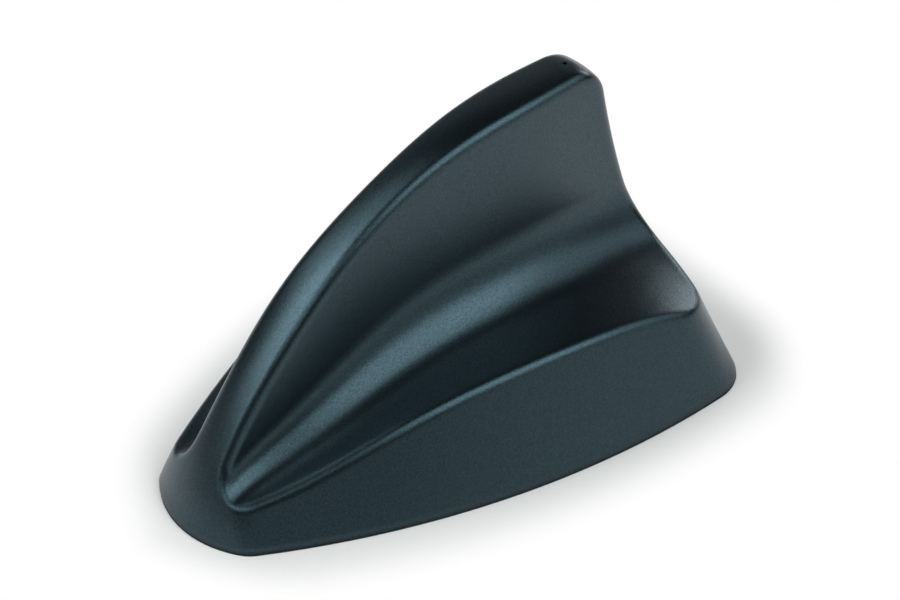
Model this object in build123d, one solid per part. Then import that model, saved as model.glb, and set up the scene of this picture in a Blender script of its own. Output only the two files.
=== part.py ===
from build123d import *
import math
import os

# Shark fin roof aerial, millimetres, +Z up, nose towards -X.
# Work is laid out with the nose tip at x = 0 and moved to the middle of the foot at the end.

# Cover, outside
length = 123.5                  # nose to rear, along the foot
half_width = 38.7               # widest half of the foot
height = 67.2                   # to the top of the spine
wide_x = 0.784 * length         # place of the widest section
flank_meet = 0.1385 * length    # the flank arcs would meet this far ahead of the nose
draft = 21.8                    # lean of the flanks, degrees
foot_top = 0.446 * height       # height of the tapered foot before the scoops are cut
low_top = 0.24 * height         # the same for the plate and the seals
rear_r = 2.33 * half_width      # rear wall in plan
rear_slope = 26.3               # lean of the rear wall at the foot, degrees
rear_arc = 3.57 * height        # rear wall and trailing edge from the side
corner_r = 0.31 * half_width    # rear corners in plan
nose_r = 0.22 * half_width      # corners from nose to flanks in plan
fin_half = 0.137 * half_width   # half thickness of the fin
fin_lean = 0.4                  # fin is this much thinner at the height of the cutter's top
root_r = 12.5                   # hollow between fin and shoulder, at the rear
crown_r = 0.62 * half_width     # crown across the spine
tip_x = 0.785 * length          # highest place on the spine
tip_fall = 0.8                  # fall of the spine's line behind that place
tip_r = 8.5                     # round from spine to trailing edge
edge_r = 0.34 * fin_half        # round on all edges of the scoops
nose_rise = 4.0                 # the spine follows the nose up to this height
pin_r = 0.5                     # vent hole near the end of the spine
pin_depth = 1.2
pin_back = 0.7                  # vent hole ahead of the highest place
over = 12.0                     # cutters run this far past the form

# Spine from the side between nose and tip: share of tip_x, share of height
spine = [(0.090, 0.257), (0.193, 0.467), (0.334, 0.682), (0.510, 0.851), (0.735, 0.967)]

# Scoop sections along the fin: share of length, of fin_half, of height, slope of the floor, share of root_r
scoop = [
    (0.012, 1.70, 0.122, 0.06, 0.34),
    (0.057, 1.13, 0.135, 0.05, 0.38),
    (0.105, 0.98, 0.155, 0.05, 0.45),
    (0.275, 0.98, 0.258, 0.03, 0.74),
    (0.526, 1.00, 0.377, -0.09, 0.98),
    (0.737, 1.09, 0.387, -0.14, 1.00),
    (0.907, 1.02, 0.364, -0.33, 1.00),
    (1.081, 0.94, 0.342, -0.50, 1.00),
]

# Shell
wall = 2.2
lip = 0.6                       # cover's lower edge above the roof
thin = 0.55                     # share of the hollow's radius that is cut off inside

# Base plate and seals
plate_gap = 0.3                 # plate to cover
plate_z = 1.2                   # underside of the plate above the roof
plate_t = 3.5
seal_inset = 0.25               # seal's outer edge inside the cover's
seal_band = 8.5                 # seal's inner edge from the cover's outer edge
hub_x = 0.2915 * length
hub_r = 8.0
hub_top = 0.16 * height
hub_foot = 0.4                  # hub's end face above the roof
bush_r = 5.0
bolt_r = 3.0
outlet_back = 16.0              # cable outlet behind the hub
outlet_r = 4.5
gland_flange = 1.4
gland_wing = 1.6                # flange beyond the outlet
cable_r = 2.0
ring_r = 12.5                   # hub seal, outer
ring_t = 2.5                    # hub seal, width

# Cover screws
screw_r = 1.5
screw_hole = 0.1                # hole over screw, on the radius
screw_head_r = 2.8
screw_head_t = 1.9
head_gap = 0.2                  # recess over head, on the radius
head_sink = 0.1                 # head above the plate's underside
screw_reach = 9.0               # thread into the boss
hole_spare = 0.5                # hole deeper than the thread
boss_r = 3.6
slot_w = 0.8                    # slots in the heads
slot_d = 0.7
nose_screw_x = 0.146 * length
mid_screw_x = 0.47 * length
rear_screw_x = 0.842 * length
screw_y = 0.568 * half_width

# Main board
board_t = 1.6
board_front = 0.486 * length
board_len = 0.372 * length
board_half = 0.413 * half_width
pillar_h = 4.0
pillar_r = 3.4
pillar_in = 5.0                 # pillars from the board's ends
pillar_y = board_half - 4.0
small_r = 1.25                  # board screws
small_hole = 0.1
small_head_r = 2.2
small_head_t = 1.7
small_reach = 2.8

# Fin board with its plate, brackets and coil
coil_in = 7.5                   # coil from the main board's front edge
coil_r = 2.6
coil_core_r = 1.9
coil_top = 0.357 * height
coil_flange_t = 0.8
wire_in = 0.2                   # winding inside the flanges, on the radius
coil_clear = 2.9                # coil to the fin board's foot
fin_t = 1.6
fin_front = 0.405 * length
fin_back = 0.777 * length
fin_top = 0.885 * height
fin_drop = 0.186 * height       # fall of the upper edge at the front
fin_belly = 0.476 * height      # lower edge at the front
fin_bend = 0.591 * length       # where the upper edge starts to fall
hat_t = 0.5
hat_gap = 0.05
hat_leg = 9.0
hat_in = 1.0                    # plate short of the board's rear edge and of the bend
rivet_r = 1.0
rivet_head_r = 1.6
rivet_head_t = 0.5
rivet_pitch = 0.097 * length
bracket_w = 6.0
bracket_leg = 5.0
bracket_t = 0.6
bracket_pitch = 0.113 * length

# Parts on the main board
can_len = 16.0
can_w = 10.0
can_h = 4.0
can_t = 0.3
chip_w = 5.0
chip_t = 0.9
cap_l = 2.0
cap_w = 1.3
cap_h = 1.1
cap_pitch = 0.087 * board_len
cap_in = 0.348 * board_len
cap_count = 5
cap_y = 7.0
choke_l = 3.2
choke_h = 2.4
choke_pitch = 0.109 * board_len
choke_in = 0.087 * board_len
choke_count = 3
choke_y = -4.8
socket_w = 6.0
socket_h = 6.0
socket_l = 4.0
socket_in = 5.5                 # socket inside the front screws
barrel_r = 2.6
barrel_bore = 1.7
barrel_l = 4.5

samples = [i / 12 for i in range(13)]
slope = math.tan(math.radians(draft))
flank_r = ((wide_x + flank_meet)**2 + half_width**2) / (2 * half_width)
plate_top = plate_z + plate_t
outlet_x = hub_x + outlet_back
board_z = plate_top + pillar_h
board_top = board_z + board_t
board_back = board_front + board_len
coil_x = board_front + coil_in
fin_foot = coil_x + coil_r + coil_clear


def tube(x, y, low, high, radius):
    return Pos(x, y, (low + high) / 2) * Cylinder(radius, high - low)


def block(x0, x1, y0, y1, z0, z1):
    return Pos((x0 + x1) / 2, (y0 + y1) / 2, (z0 + z1) / 2) * Box(x1 - x0, y1 - y0, z1 - z0)


def all_of(parts):
    return Compound([solid for part in parts for solid in part.solids()])


def flip(p):
    return (p[0], -p[1])


def foot_face(inset):
    """Plan of the foot between two long flank arcs, run past both ends."""
    rise = flank_r - half_width
    rf = flank_r - inset

    def flank(angle):
        return (wide_x + rf * math.cos(angle), rf * math.sin(angle) - rise)

    first = math.pi - math.asin(rise / rf)
    last = math.acos((length + over - wide_x) / rf)
    point = flank(first)
    middle = flank((first + last) / 2)
    stop = flank(last)
    return make_face([
        ThreePointArc(point, flip(middle), flip(stop)),
        Line(flip(stop), stop),
        ThreePointArc(stop, middle, point),
    ])


def swept_cut(path, radius, half, deep):
    """Room outside a crowned surface that follows a path in the middle plane."""
    start = path @ 0
    plane = Plane(origin=start, x_dir=(0, 1, 0), z_dir=path % 0)
    sag = radius - math.sqrt(radius**2 - half**2)
    out = 1 if plane.y_dir.X * (start.X - length / 2) > 0 else -1
    face = make_face([
        ThreePointArc((-half, -out * sag), (0, 0), (half, -out * sag)),
        Line((half, -out * sag), (half, out * deep)),
        Line((half, out * deep), (-half, out * deep)),
        Line((-half, out * deep), (-half, -out * sag)),
    ])
    return sweep(plane * face, path=path)


def rear_cut(inset):
    lean = math.radians(rear_slope)

    def at(z):
        s = math.sin(lean) - z / rear_arc
        return (length - inset + rear_arc * (math.cos(lean) - math.sqrt(1 - s * s)), 0, z)

    path = ThreePointArc(at(-over), at(height / 2), at(height + over))
    return swept_cut(path, rear_r, half_width + over, half_width)


def spine_path(inset):
    """Side view of nose and spine: a straight nose, then one long curve."""
    bend = (nose_rise * slope, 0, nose_rise)
    start = (bend[0] - over * slope, 0, nose_rise - over)
    points = [bend] + [(x * tip_x, 0, z * height) for x, z in spine]
    points += [(tip_x, 0, height), (length + over, 0, height - tip_fall)]
    fall = tip_fall / (length + over - tip_x)
    curve = Spline(points, tangents=[(slope, 0, 1), (1, 0, -2 * fall)])
    if inset:
        ends = [curve % 0, curve % 1]
        moved = [curve @ s + inset * Vector((curve % s).Z, 0, -(curve % s).X) for s in samples]
        curve = Spline(moved, tangents=ends)
        start = moved[0] - 2 * over * ends[0]
    return Line(start, curve @ 0) + curve


def spine_cut(inset):
    return swept_cut(spine_path(inset), crown_r - inset, 0.85 * (crown_r - inset), height)


def scoop_plane(along):
    return Plane(origin=(along * length, 0, 0), x_dir=(0, 1, 0), z_dir=(1, 0, 0))


def scoop_cut():
    """Room beside the fin on the +Y side: fin face, hollow root and floor."""
    far = half_width + 2 * over
    top = height + 2 * over
    sections = []
    for along, thick, up, fall, hollow in scoop:
        y = thick * fin_half
        z = up * height
        face = make_face(Polyline(
            (y, z), (far, z + fall * (far - y)), (far, top), (y - fin_lean, top), close=True))
        corner = face.vertices().sort_by_distance((y, z))[0]
        sections.append(scoop_plane(along) * fillet(corner, hollow * root_r))
    return loft(sections)


def inner_scoop_cut():
    """The same room for the inside of the shell, in straight runs with a bevelled root."""
    far = half_width + 2 * over
    top = height + 2 * over
    sections = []
    for along, thick, up, fall, hollow in scoop:
        y = thick * fin_half - wall
        z = up * height - wall
        bevel = thin * (hollow * root_r + wall)
        face = make_face(Polyline(
            (y, z + bevel), (y + bevel, z + fall * bevel), (far, z + fall * (far - y)), (far, top),
            (y - fin_lean, top), close=True))
        sections.append(scoop_plane(along) * face)
    return loft(sections, ruled=True)


def edges_between(part, least):
    """Edges whose two faces turn by more than the given angle."""
    found = []
    for edge in part.edges():
        sides = [f for f in part.faces() if any(edge.is_same(e) for e in f.edges())]
        if len(sides) == 2:
            middle = edge @ 0.5
            if sides[0].normal_at(middle).get_angle(sides[1].normal_at(middle)) > least:
                found.append(edge)
    return found


def steep_edges(body, rise):
    """Edges that climb by more than a given rise between faces that turn."""
    return [e for e in edges_between(body, 5) if abs((e @ 0).Z - (e @ 1).Z) > rise]


def foot(inset, top):
    """Tapered foot from the roof up, with its rear wall and rounded rear corners."""
    body = extrude(foot_face(inset), amount=top, taper=draft) - rear_cut(inset)
    corners = [e for e in steep_edges(body, top / 2) if (e @ 0.5).X > length / 2]
    body = fillet(corners, corner_r - inset) - spine_cut(inset)
    corners = [e for e in steep_edges(body, top / 2) if (e @ 0.5).X < length / 2]
    return fillet(corners, nose_r - inset / 2)


def slab(inset, low, high):
    """Slice of the foot between two heights."""
    body = foot(inset, low_top)
    return body & block(-length, 2 * length, -2 * half_width, 2 * half_width, low, high)


def fin_block(inset):
    front = 0.03 * length
    back = length + over
    narrow = 1.25 * fin_half - inset
    broad = 2 * fin_half - inset
    face = make_face(Polyline(
        (front, -narrow), (back, -broad), (back, broad), (front, narrow), close=True))
    low = 0.45 * foot_top
    return Pos(0, 0, low) * extrude(face, amount=height + over - low) - rear_cut(inset) - spine_cut(inset)


def outer_form():
    body = foot(0, foot_top) + fin_block(0)
    tip = [e for e in edges_between(body, 20) if abs((e @ 0.5).Y) < 1 and (e @ 0.5).Z > height * 0.8]
    body = fillet(tip, tip_r)
    side = scoop_cut()
    body = body - side - mirror(side, Plane.XZ)
    rims = [e for e in edges_between(body, 20) if (e @ 0.5).Z > lip]
    return fillet(rims, edge_r)


def inner_form():
    side = inner_scoop_cut()
    return foot(wall, foot_top) + fin_block(wall) - side - mirror(side, Plane.XZ)


def cover_shell():
    """Cover: shell, bosses for its screws, vent hole."""
    outer = outer_form()
    cover = outer - inner_form() - block(-length, 2 * length, -2 * half_width, 2 * half_width, -over, lip)
    for x, y in screw_at:
        cover += tube(x, y, plate_top, height, boss_r) & outer
    for x, y in screw_at:
        cover -= tube(x, y, 0, plate_top + screw_reach + hole_spare, screw_r + screw_hole)
    return cover - tube(tip_x - pin_back, 0, height - pin_depth, height + over, pin_r)


def base_plate():
    """One casting with hub, pillars, outlet and recesses for the screw heads."""
    plate = slab(wall + plate_gap, plate_z, plate_top)
    plate += tube(hub_x, 0, hub_foot, hub_top, hub_r)
    for x, y in pillar_at:
        plate += tube(x, y, plate_z, board_z, pillar_r)
    plate -= tube(hub_x, 0, 0, hub_top + over, bush_r)
    plate -= tube(outlet_x, 0, 0, plate_top + over, outlet_r)
    for x, y in screw_at:
        plate -= tube(x, y, 0, screw_seat, screw_head_r + head_gap)
        plate -= tube(x, y, 0, plate_top + over, screw_r + screw_hole)
    for x, y in pillar_at:
        plate -= tube(x, y, board_z - small_reach - hole_spare, board_z + over, small_r + small_hole)
    return plate


def roof_seal():
    """Stepped band under the rim of cover and plate."""
    band = slab(seal_inset, 0, lip) + slab(wall + plate_gap, lip, plate_z)
    return band - slab(seal_band, -over, 2 * plate_z)


def long_ring(radius):
    """Plan around hub and cable outlet."""
    middle = Pos((hub_x + outlet_x) / 2, 0) * Rectangle(outlet_back, 2 * radius)
    return Pos(hub_x, 0) * Circle(radius) + Pos(outlet_x, 0) * Circle(radius) + middle


def cable_gland():
    top = plate_top + gland_flange
    gland = tube(outlet_x, 0, plate_z, top, outlet_r)
    gland += tube(outlet_x, 0, plate_top, top, outlet_r + gland_wing)
    return gland - tube(outlet_x, 0, 0, top + over, cable_r)


def cover_screw(x, y):
    low = screw_seat - screw_head_t
    screw = tube(x, y, low, screw_seat, screw_head_r)
    screw += tube(x, y, screw_seat, plate_top + screw_reach, screw_r)
    return screw - block(x - screw_r, x + screw_r, y - slot_w / 2, y + slot_w / 2, 0, low + slot_d)


def board_screw(x, y):
    top = board_top + small_head_t
    screw = tube(x, y, board_top, top, small_head_r)
    screw += tube(x, y, board_z - small_reach, board_top, small_r)
    return screw - block(x - small_r, x + small_r, y - slot_w / 2, y + slot_w / 2, top - slot_d, top + over)


def main_board():
    board = block(board_front, board_back, -board_half, board_half, board_z, board_top)
    for x, y in pillar_at:
        board -= tube(x, y, 0, board_top + over, small_r + small_hole)
    return board


def cross_pin(x, radius, long):
    return Pos(x, 0, rivet_z) * Rot(90, 0, 0) * Cylinder(radius, long)


def fin_board():
    sail = Polyline(
        (fin_foot, board_top), (fin_back, board_top), (fin_back, fin_top), (fin_bend, fin_top),
        (fin_front, fin_top - fin_drop), (fin_front, fin_belly), (coil_x - coil_r, coil_top),
        (fin_foot, coil_top), close=True)
    board = extrude(Plane.XZ * make_face(sail), amount=fin_t / 2, both=True)
    for x in rivet_at:
        board -= cross_pin(x, rivet_r, 2 * over)
    return board


def top_plate():
    """Sheet folded over the fin board's upper edge."""
    inside = hat_half - hat_t
    x0 = fin_bend + hat_in
    x1 = fin_back - hat_in
    plate = block(x0, x1, -hat_half, hat_half, fin_top - hat_leg, fin_top + hat_t)
    plate -= block(fin_bend, fin_back, -inside, inside, 0, fin_top)
    for x in rivet_at:
        plate -= cross_pin(x, rivet_r, 2 * over)
    return plate


def plate_rivet(x):
    over_heads = hat_half + rivet_head_t
    heads = cross_pin(x, rivet_head_r, 2 * over_heads) - cross_pin(x, 2 * rivet_head_r, 2 * hat_half)
    return cross_pin(x, rivet_r, 2 * over_heads) + heads


def bracket(x):
    """Angle that holds the fin board up."""
    x0 = x - bracket_w / 2
    x1 = x + bracket_w / 2
    y = fin_t / 2
    flat = block(x0, x1, y, y + bracket_leg, board_top, board_top + bracket_t)
    return flat + block(x0, x1, y, y + bracket_t, board_top, board_top + bracket_leg)


def coil_former():
    core = tube(coil_x, 0, board_top, coil_top, coil_core_r)
    core += tube(coil_x, 0, board_top, board_top + coil_flange_t, coil_r)
    return core + tube(coil_x, 0, coil_top - coil_flange_t, coil_top, coil_r)


def coil_winding():
    wire = tube(coil_x, 0, board_top + coil_flange_t, coil_top - coil_flange_t, coil_r - wire_in)
    return wire - tube(coil_x, 0, board_top, coil_top, coil_core_r)


def on_board(x, y, long, wide, tall):
    return block(x - long / 2, x + long / 2, y - wide / 2, y + wide / 2, board_top, board_top + tall)


def shield_can():
    room = on_board(can_x, can_y, can_len - 2 * can_t, can_w - 2 * can_t, can_h - can_t)
    return on_board(can_x, can_y, can_len, can_w, can_h) - room


def cable_socket():
    y = pillar_y - socket_in
    axis = Pos(board_front - barrel_l / 2, y, board_top + socket_h / 2) * Rot(0, 90, 0)
    body = on_board(board_front + socket_l / 2, y, socket_l, socket_w, socket_h)
    return body + axis * Cylinder(barrel_r, barrel_l) - axis * Cylinder(barrel_bore, barrel_l)


def in_row(start, pitch, count):
    return [board_front + start + i * pitch for i in range(count)]


screw_seat = plate_z + head_sink + screw_head_t
screw_at = [(nose_screw_x, 0)]
screw_at += [(x, y) for x in (mid_screw_x, rear_screw_x) for y in (screw_y, -screw_y)]
pillar_x = (board_front + pillar_in, board_back - pillar_in)
pillar_at = [(x, y) for x in pillar_x for y in (pillar_y, -pillar_y)]
hat_half = fin_t / 2 + hat_gap + hat_t
rivet_z = fin_top - hat_leg / 2
rivet_mid = (fin_bend + fin_back) / 2
rivet_at = [rivet_mid - rivet_pitch / 2, rivet_mid + rivet_pitch / 2]
bracket_mid = (fin_foot + fin_back) / 2
bracket_at = [bracket_mid - bracket_pitch / 2, bracket_mid + bracket_pitch / 2]
cap_at = in_row(cap_in, cap_pitch, cap_count)
choke_at = in_row(choke_in, choke_pitch, choke_count)
can_x = board_front + 0.565 * board_len
can_y = -0.53 * board_half

nodes = {
    "cover": cover_shell(),
    "base_plate": base_plate(),
    "roof_seal": roof_seal(),
    "hub_seal": extrude(long_ring(ring_r) - long_ring(ring_r - ring_t), amount=plate_z),
    "threaded_bush": tube(hub_x, 0, hub_foot, hub_top, bush_r) - tube(hub_x, 0, 0, hub_top + over, bolt_r),
    "cable_gland": cable_gland(),
    "cover_screws": all_of([cover_screw(x, y) for x, y in screw_at]),
    "main_board": main_board(),
    "board_screws": all_of([board_screw(x, y) for x, y in pillar_at]),
    "fin_board": fin_board(),
    "top_plate": top_plate(),
    "plate_rivets": all_of([plate_rivet(x) for x in rivet_at]),
    "board_brackets": all_of([bracket(x) for x in bracket_at]),
    "coil_former": coil_former(),
    "coil_winding": coil_winding(),
    "shield_can": shield_can(),
    "amplifier_chip": on_board(can_x, can_y, chip_w, chip_w, chip_t),
    "board_capacitors": all_of([on_board(x, cap_y, cap_l, cap_w, cap_h) for x in cap_at]),
    "board_chokes": all_of([on_board(x, choke_y, choke_l, choke_l, choke_h) for x in choke_at]),
    "cable_socket": cable_socket(),
}

os.makedirs("parts", exist_ok=True)
for name, node in nodes.items():
    export_step(Pos(-length / 2, 0, 0) * node, "parts/" + name + ".step")
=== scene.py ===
import math

import bpy
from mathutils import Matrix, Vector

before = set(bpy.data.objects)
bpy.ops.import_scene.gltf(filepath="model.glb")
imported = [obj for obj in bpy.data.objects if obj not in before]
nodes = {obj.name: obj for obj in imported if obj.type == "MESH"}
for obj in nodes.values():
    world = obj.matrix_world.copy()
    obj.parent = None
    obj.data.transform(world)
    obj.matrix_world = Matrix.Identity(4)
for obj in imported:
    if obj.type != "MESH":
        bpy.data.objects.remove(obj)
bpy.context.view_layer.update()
scene = bpy.context.scene
scene.view_settings.view_transform = "Standard"

# Lengths are in metres
MM = 0.001

# Vent hole near the top end of the spine, and how near to it the cover keeps crisp edges
VENT_CENTRE = (34.5 * MM, 0, 66.9 * MM)
VENT_RIM = 1.6 * MM
VENT_CLEAR = 2.8 * MM

# Foot from above: two flank arcs, cut off at nose and rear, with rounded corners
FLANK_CENTRE = (35.1 * MM, -148.6 * MM, 0)
FLANK_RADIUS = 187.3 * MM
FOOT_HALF_LENGTH = 61.7 * MM
FOOT_CORNER = 14 * MM

# Floor, with the width of the zone round the foot that shows the real shadow together with painted shade:
# there the sheet's pale, greenish colour stays darker than the white further out
FLOOR_SIZE = 3.0
# Pale, greenish floor colour, darker than the white further out: painted shade in the zone round the foot
FLOOR_AND_PAINTED_SHADE_COLOR = (0.85, 0.875, 0.865, 1)
FLOOR_ROUGH = 0.9
FLOOR_SHINE = 0.1
SHADOW_AND_PAINTED_SHADE_REACH = 14 * MM

# Patterns that the finishes share
PATCH_SCALE = 60.0
PATCH_DETAIL = 5.0
GRAIN_DETAIL = 3.0
SPECKLE_FROM = 0.3
SPECKLE_TO = 0.7
EDGE_SAMPLES = 8
RING_DEPTH = 0.2 * MM
# Blender's wave pattern repeats after this length at a scale of 1
RING_PERIOD = 0.314
COVER_TINT = (0.48, 0.83, 1.0)

# Lamps, all aimed at the middle of the part
LAMP_DISTANCE = 1.2
LAMP_AIM = Vector((0, 0, 30 * MM))
WORLD_LIGHT = 0.03

# Camera at the photo's angle; lens and sensor in millimetres, as Blender takes them
CAMERA_PLACE = (-0.284406, -0.357043, 0.405284)
CAMERA_AIM = Vector((-0.0032625, -0.011044, 0.0339955))
CAMERA_LENS = 120.0
CAMERA_SENSOR = 36.0
CAMERA_REACH = 20.0


def put_node(tree, kind, inputs, **settings):
    """Add a shader node whose inputs are fixed values or the sockets that feed them."""
    node = tree.nodes.new("ShaderNode" + kind)
    for setting, value in settings.items():
        setattr(node, setting, value)
    for socket, value in inputs.items():
        if isinstance(value, bpy.types.NodeSocket):
            tree.links.new(value, node.inputs[socket])
        else:
            node.inputs[socket].default_value = value
    return node


def worked_out(tree, operation, first, second=0.0):
    """Result of a math node on a socket and a second socket or number."""
    return put_node(tree, "Math", {0: first, 1: second}, operation=operation).outputs["Value"]


def rounded_edges(tree, place, radius):
    """Normal that is shaded round at the cover's edges, but not at the rim of the vent hole."""
    rounded = put_node(tree, "Bevel", {"Radius": radius}, samples=EDGE_SAMPLES)
    plain = put_node(tree, "NewGeometry", {})
    from_vent = put_node(tree, "VectorMath", {0: place, 1: VENT_CENTRE}, operation="DISTANCE")
    clear_of_vent = put_node(tree, "MapRange", {
        "Value": from_vent.outputs["Value"], "From Min": VENT_RIM, "From Max": VENT_CLEAR,
    })
    normal = put_node(tree, "Mix", {
        "Factor": clear_of_vent.outputs["Result"],
        "A": plain.outputs["Normal"], "B": rounded.outputs["Normal"],
    }, data_type="VECTOR")
    return normal.outputs["Result"]


def wound_rings(tree, place, relief, pitch, strength):
    """Rings up the piece on top of its grain, as a thread or the turns of a coil have."""
    rings = put_node(tree, "TexWave", {"Vector": place, "Scale": RING_PERIOD / pitch},
                     wave_type="BANDS", bands_direction="Z")
    return put_node(tree, "Bump", {
        "Height": rings.outputs["Fac"], "Strength": strength, "Distance": RING_DEPTH,
        "Normal": relief.outputs["Normal"],
    })


def piece_finish(name, color, rough, rough_swing=0.06, metal=0.0, shine=0.5, tint=None, mottle=0.0, grain=0.0,
                 grain_size=0.4 * MM, grain_depth=0.05 * MM, speckle=0.0, edge_radius=0.0, ring_pitch=0.0,
                 ring_strength=0.0):
    """Finish with broad patches in colour and roughness and a fine grain, in the piece's own space."""
    finish = bpy.data.materials.new(name)
    finish.use_nodes = True
    tree = finish.node_tree
    shader = tree.nodes["Principled BSDF"]
    shader.inputs["Metallic"].default_value = metal
    shader.inputs["Specular IOR Level"].default_value = shine
    if tint:
        shader.inputs["Specular Tint"].default_value = (*tint, 1)
    place = put_node(tree, "TexCoord", {}).outputs["Object"]

    # Broad patches in colour and roughness
    patches = put_node(tree, "TexNoise", {"Vector": place, "Scale": PATCH_SCALE, "Detail": PATCH_DETAIL})
    darker = (*[c * (1 - mottle) for c in color], 1)
    lighter = (*[min(1, c * (1 + mottle)) for c in color], 1)
    shade = put_node(tree, "Mix", {"Factor": patches.outputs["Fac"], "A": darker, "B": lighter},
                     data_type="RGBA")
    tree.links.new(shade.outputs["Result"], shader.inputs["Base Color"])
    polish = put_node(tree, "MapRange", {
        "Value": patches.outputs["Fac"], "To Min": rough - rough_swing, "To Max": rough + rough_swing,
    })
    tree.links.new(polish.outputs["Result"], shader.inputs["Roughness"])

    # Fine grain, as a speckle in the gloss and as relief
    grains = put_node(tree, "TexNoise", {"Vector": place, "Scale": 1 / grain_size, "Detail": GRAIN_DETAIL})
    if speckle:
        glint = put_node(tree, "MapRange", {
            "Value": grains.outputs["Fac"], "From Min": SPECKLE_FROM, "From Max": SPECKLE_TO,
            "To Min": shine * (1 - speckle), "To Max": shine * (1 + speckle),
        })
        tree.links.new(glint.outputs["Result"], shader.inputs["Specular IOR Level"])
    relief = put_node(tree, "Bump", {
        "Height": grains.outputs["Fac"], "Strength": grain, "Distance": grain_depth,
    })
    if edge_radius:
        tree.links.new(rounded_edges(tree, place, edge_radius), relief.inputs["Normal"])
    if ring_pitch:
        relief = wound_rings(tree, place, relief, ring_pitch, ring_strength)
    tree.links.new(relief.outputs["Normal"], shader.inputs["Normal"])
    return finish


# Cover and seals
plastic = piece_finish("cover_plastic", (0.0018, 0.0028, 0.0033), 0.28, rough_swing=0.03, shine=0.8,
                       tint=COVER_TINT, mottle=0.15, grain=0.28, grain_size=0.34 * MM, grain_depth=0.1 * MM,
                       speckle=0.28, edge_radius=1.8 * MM)
rubber = piece_finish("seal_rubber", (0.004, 0.006, 0.007), 0.62, tint=COVER_TINT, mottle=0.15, grain=0.4,
                      grain_size=0.5 * MM)
gland = piece_finish("gland_rubber", (0.03, 0.03, 0.032), 0.66, mottle=0.1, grain=0.35)

# Metals
cast = piece_finish("cast_metal", (0.50, 0.51, 0.52), 0.46, metal=1.0, mottle=0.06, grain=0.7,
                    grain_size=0.6 * MM)
brass = piece_finish("brass", (0.70, 0.50, 0.20), 0.28, metal=1.0, mottle=0.05, grain=0.2,
                     ring_pitch=1.0 * MM, ring_strength=0.5)
steel = piece_finish("screw_steel", (0.60, 0.61, 0.62), 0.30, metal=1.0, mottle=0.05, grain=0.2)
tin = piece_finish("tin_sheet", (0.68, 0.68, 0.69), 0.34, metal=1.0, mottle=0.06, grain=0.25)
copper = piece_finish("copper_wire", (0.55, 0.22, 0.09), 0.32, metal=1.0, mottle=0.08, grain=0.1,
                      ring_pitch=0.35 * MM, ring_strength=1.0)
gold = piece_finish("socket_gold", (0.75, 0.56, 0.25), 0.26, metal=1.0, mottle=0.05, grain=0.15)

# Boards and what sits on them
board = piece_finish("board_green", (0.020, 0.11, 0.045), 0.40, mottle=0.12, grain=0.15)
former = piece_finish("former_plastic", (0.72, 0.69, 0.60), 0.50, mottle=0.05, grain=0.2)
chip = piece_finish("chip_black", (0.015, 0.015, 0.017), 0.55, mottle=0.1, grain=0.3)
ceramic = piece_finish("cap_ceramic", (0.50, 0.36, 0.24), 0.50, mottle=0.1, grain=0.2)
ferrite = piece_finish("choke_ferrite", (0.06, 0.06, 0.065), 0.62, mottle=0.15, grain=0.5)

finishes = {
    "cover": plastic, "roof_seal": rubber, "hub_seal": rubber, "cable_gland": gland,
    "base_plate": cast, "threaded_bush": brass, "cover_screws": steel, "board_screws": steel,
    "main_board": board, "fin_board": board, "board_brackets": tin, "top_plate": tin, "plate_rivets": brass,
    "coil_former": former, "coil_winding": copper, "shield_can": tin, "amplifier_chip": chip,
    "board_capacitors": ceramic, "board_chokes": ferrite, "cable_socket": gold,
}
for name, node in nodes.items():
    node.data.materials.clear()
    node.data.materials.append(finishes[name])


def beyond_foot(tree):
    """Distance on the floor outside the foot's plan, with the corner radius added."""
    place = put_node(tree, "TexCoord", {}).outputs["Object"]
    axes = put_node(tree, "SeparateXYZ", {"Vector": place})
    one_side = put_node(tree, "CombineXYZ", {
        "X": axes.outputs["X"], "Y": worked_out(tree, "ABSOLUTE", axes.outputs["Y"]),
    })
    from_centre = put_node(tree, "VectorMath", {0: one_side.outputs["Vector"], 1: FLANK_CENTRE},
                           operation="DISTANCE")
    past_flank = worked_out(tree, "SUBTRACT", from_centre.outputs["Value"], FLANK_RADIUS - FOOT_CORNER)
    half_length = worked_out(tree, "ABSOLUTE", axes.outputs["X"])
    past_end = worked_out(tree, "SUBTRACT", half_length, FOOT_HALF_LENGTH - FOOT_CORNER)
    corner = put_node(tree, "CombineXYZ", {
        "X": worked_out(tree, "MAXIMUM", past_flank), "Y": worked_out(tree, "MAXIMUM", past_end),
    })
    return put_node(tree, "VectorMath", {0: corner.outputs["Vector"]}, operation="LENGTH").outputs["Value"]


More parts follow.
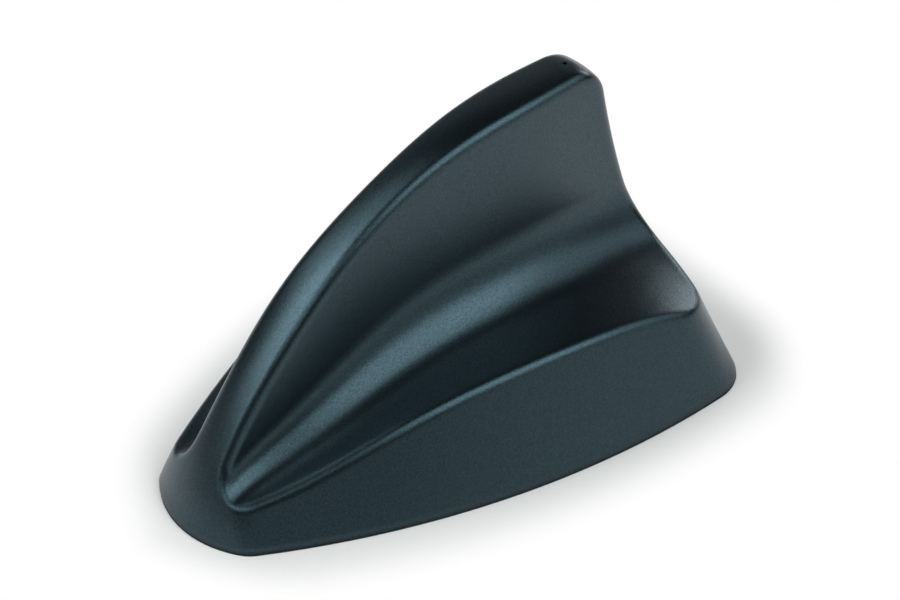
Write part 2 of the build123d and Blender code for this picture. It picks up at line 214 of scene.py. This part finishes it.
def floor_paper():
    """Pale sheet near the foot, showing the real shadow with painted shade, as the sheet is darker than the
    white further out; white further out, to the eye and in reflections.
    """
    paper = bpy.data.materials.new("paper")
    paper.use_nodes = True
    tree = paper.node_tree
    sheet = tree.nodes["Principled BSDF"]
    sheet.inputs["Base Color"].default_value = FLOOR_AND_PAINTED_SHADE_COLOR
    sheet.inputs["Roughness"].default_value = FLOOR_ROUGH
    sheet.inputs["Specular IOR Level"].default_value = FLOOR_SHINE
    # Near the foot the pale sheet stays, darker than the white beyond: painted shade on top of the real
    # shadow
    shadow_and_painted_shade_fade = put_node(tree, "MapRange", {
        "Value": beyond_foot(tree), "From Min": FOOT_CORNER, "From Max": FOOT_CORNER + SHADOW_AND_PAINTED_SHADE_REACH,
    }, interpolation_type="SMOOTHSTEP")
    ray = put_node(tree, "LightPath", {})
    seen = worked_out(tree, "MAXIMUM", ray.outputs["Is Camera Ray"], ray.outputs["Is Glossy Ray"])
    seen = worked_out(tree, "MAXIMUM", seen, ray.outputs["Is Transmission Ray"])
    white = put_node(tree, "Emission", {"Strength": 1.0})
    blend = put_node(tree, "MixShader", {
        "Fac": worked_out(tree, "MULTIPLY", seen, shadow_and_painted_shade_fade.outputs["Result"]),
        1: sheet.outputs["BSDF"], 2: white.outputs["Emission"],
    })
    tree.links.new(blend.outputs["Shader"], tree.nodes["Material Output"].inputs["Surface"])
    return paper


bpy.ops.object.select_all(action="DESELECT")
bpy.ops.mesh.primitive_plane_add(size=FLOOR_SIZE, location=(0, 0, 0))
floor = bpy.context.object
floor.name = "floor"
floor.data.materials.append(floor_paper())


def softbox(name, bearing, height, wide, tall, radiance):
    """Lamp as the part sees it: bearing, height and both sizes in degrees, and its radiance."""
    turn = math.radians(bearing)
    lift = math.radians(height)
    way = Vector((math.cos(turn) * math.cos(lift), math.sin(turn) * math.cos(lift), math.sin(lift)))
    light = bpy.data.lights.new(name, "AREA")
    light.shape = "RECTANGLE"
    light.size = 2 * LAMP_DISTANCE * math.tan(math.radians(wide / 2))
    light.size_y = 2 * LAMP_DISTANCE * math.tan(math.radians(tall / 2))
    light.energy = math.pi * light.size * light.size_y * radiance
    lamp = bpy.data.objects.new(name, light)
    scene.collection.objects.link(lamp)
    lamp.location = LAMP_AIM + way * LAMP_DISTANCE
    lamp.rotation_euler = (-way).to_track_quat("-Z", "Y").to_euler()
    return lamp


softbox("right", -80, 51, 42, 50, 2.9)
softbox("left", 162, 35, 38, 40, 3.6)
# Soft top light from behind, for the shadow at the foot
softbox("rear", 60, 52, 80, 56, 0.75).visible_glossy = False
# Cards that only show in the gloss of the cover
softbox("right_card", -36, 38, 40, 34, 1.2).visible_diffuse = False
softbox("low_card", -66, 12, 46, 22, 0.7).visible_diffuse = False
softbox("left_card", 134, 48, 30, 40, 1.7).visible_diffuse = False
softbox("strip_card", 14, 16, 26, 10, 5.0).visible_diffuse = False
softbox("back_card", 68, 25, 60, 42, 0.26).visible_diffuse = False
softbox("front_card", -150, 38, 28, 24, 2.0).visible_diffuse = False

world = bpy.data.worlds.new("studio")
scene.world = world
world.use_nodes = True
background = world.node_tree.nodes["Background"]
background.inputs["Color"].default_value = (1.0, 1.0, 1.0, 1)
background.inputs["Strength"].default_value = WORLD_LIGHT

camera = bpy.data.objects.new("camera", bpy.data.cameras.new("camera"))
scene.collection.objects.link(camera)
camera.data.lens = CAMERA_LENS
camera.data.sensor_width = CAMERA_SENSOR
camera.data.clip_end = CAMERA_REACH
camera.location = CAMERA_PLACE
camera.rotation_euler = (CAMERA_AIM - camera.location).to_track_quat("-Z", "Y").to_euler()
scene.camera = camera
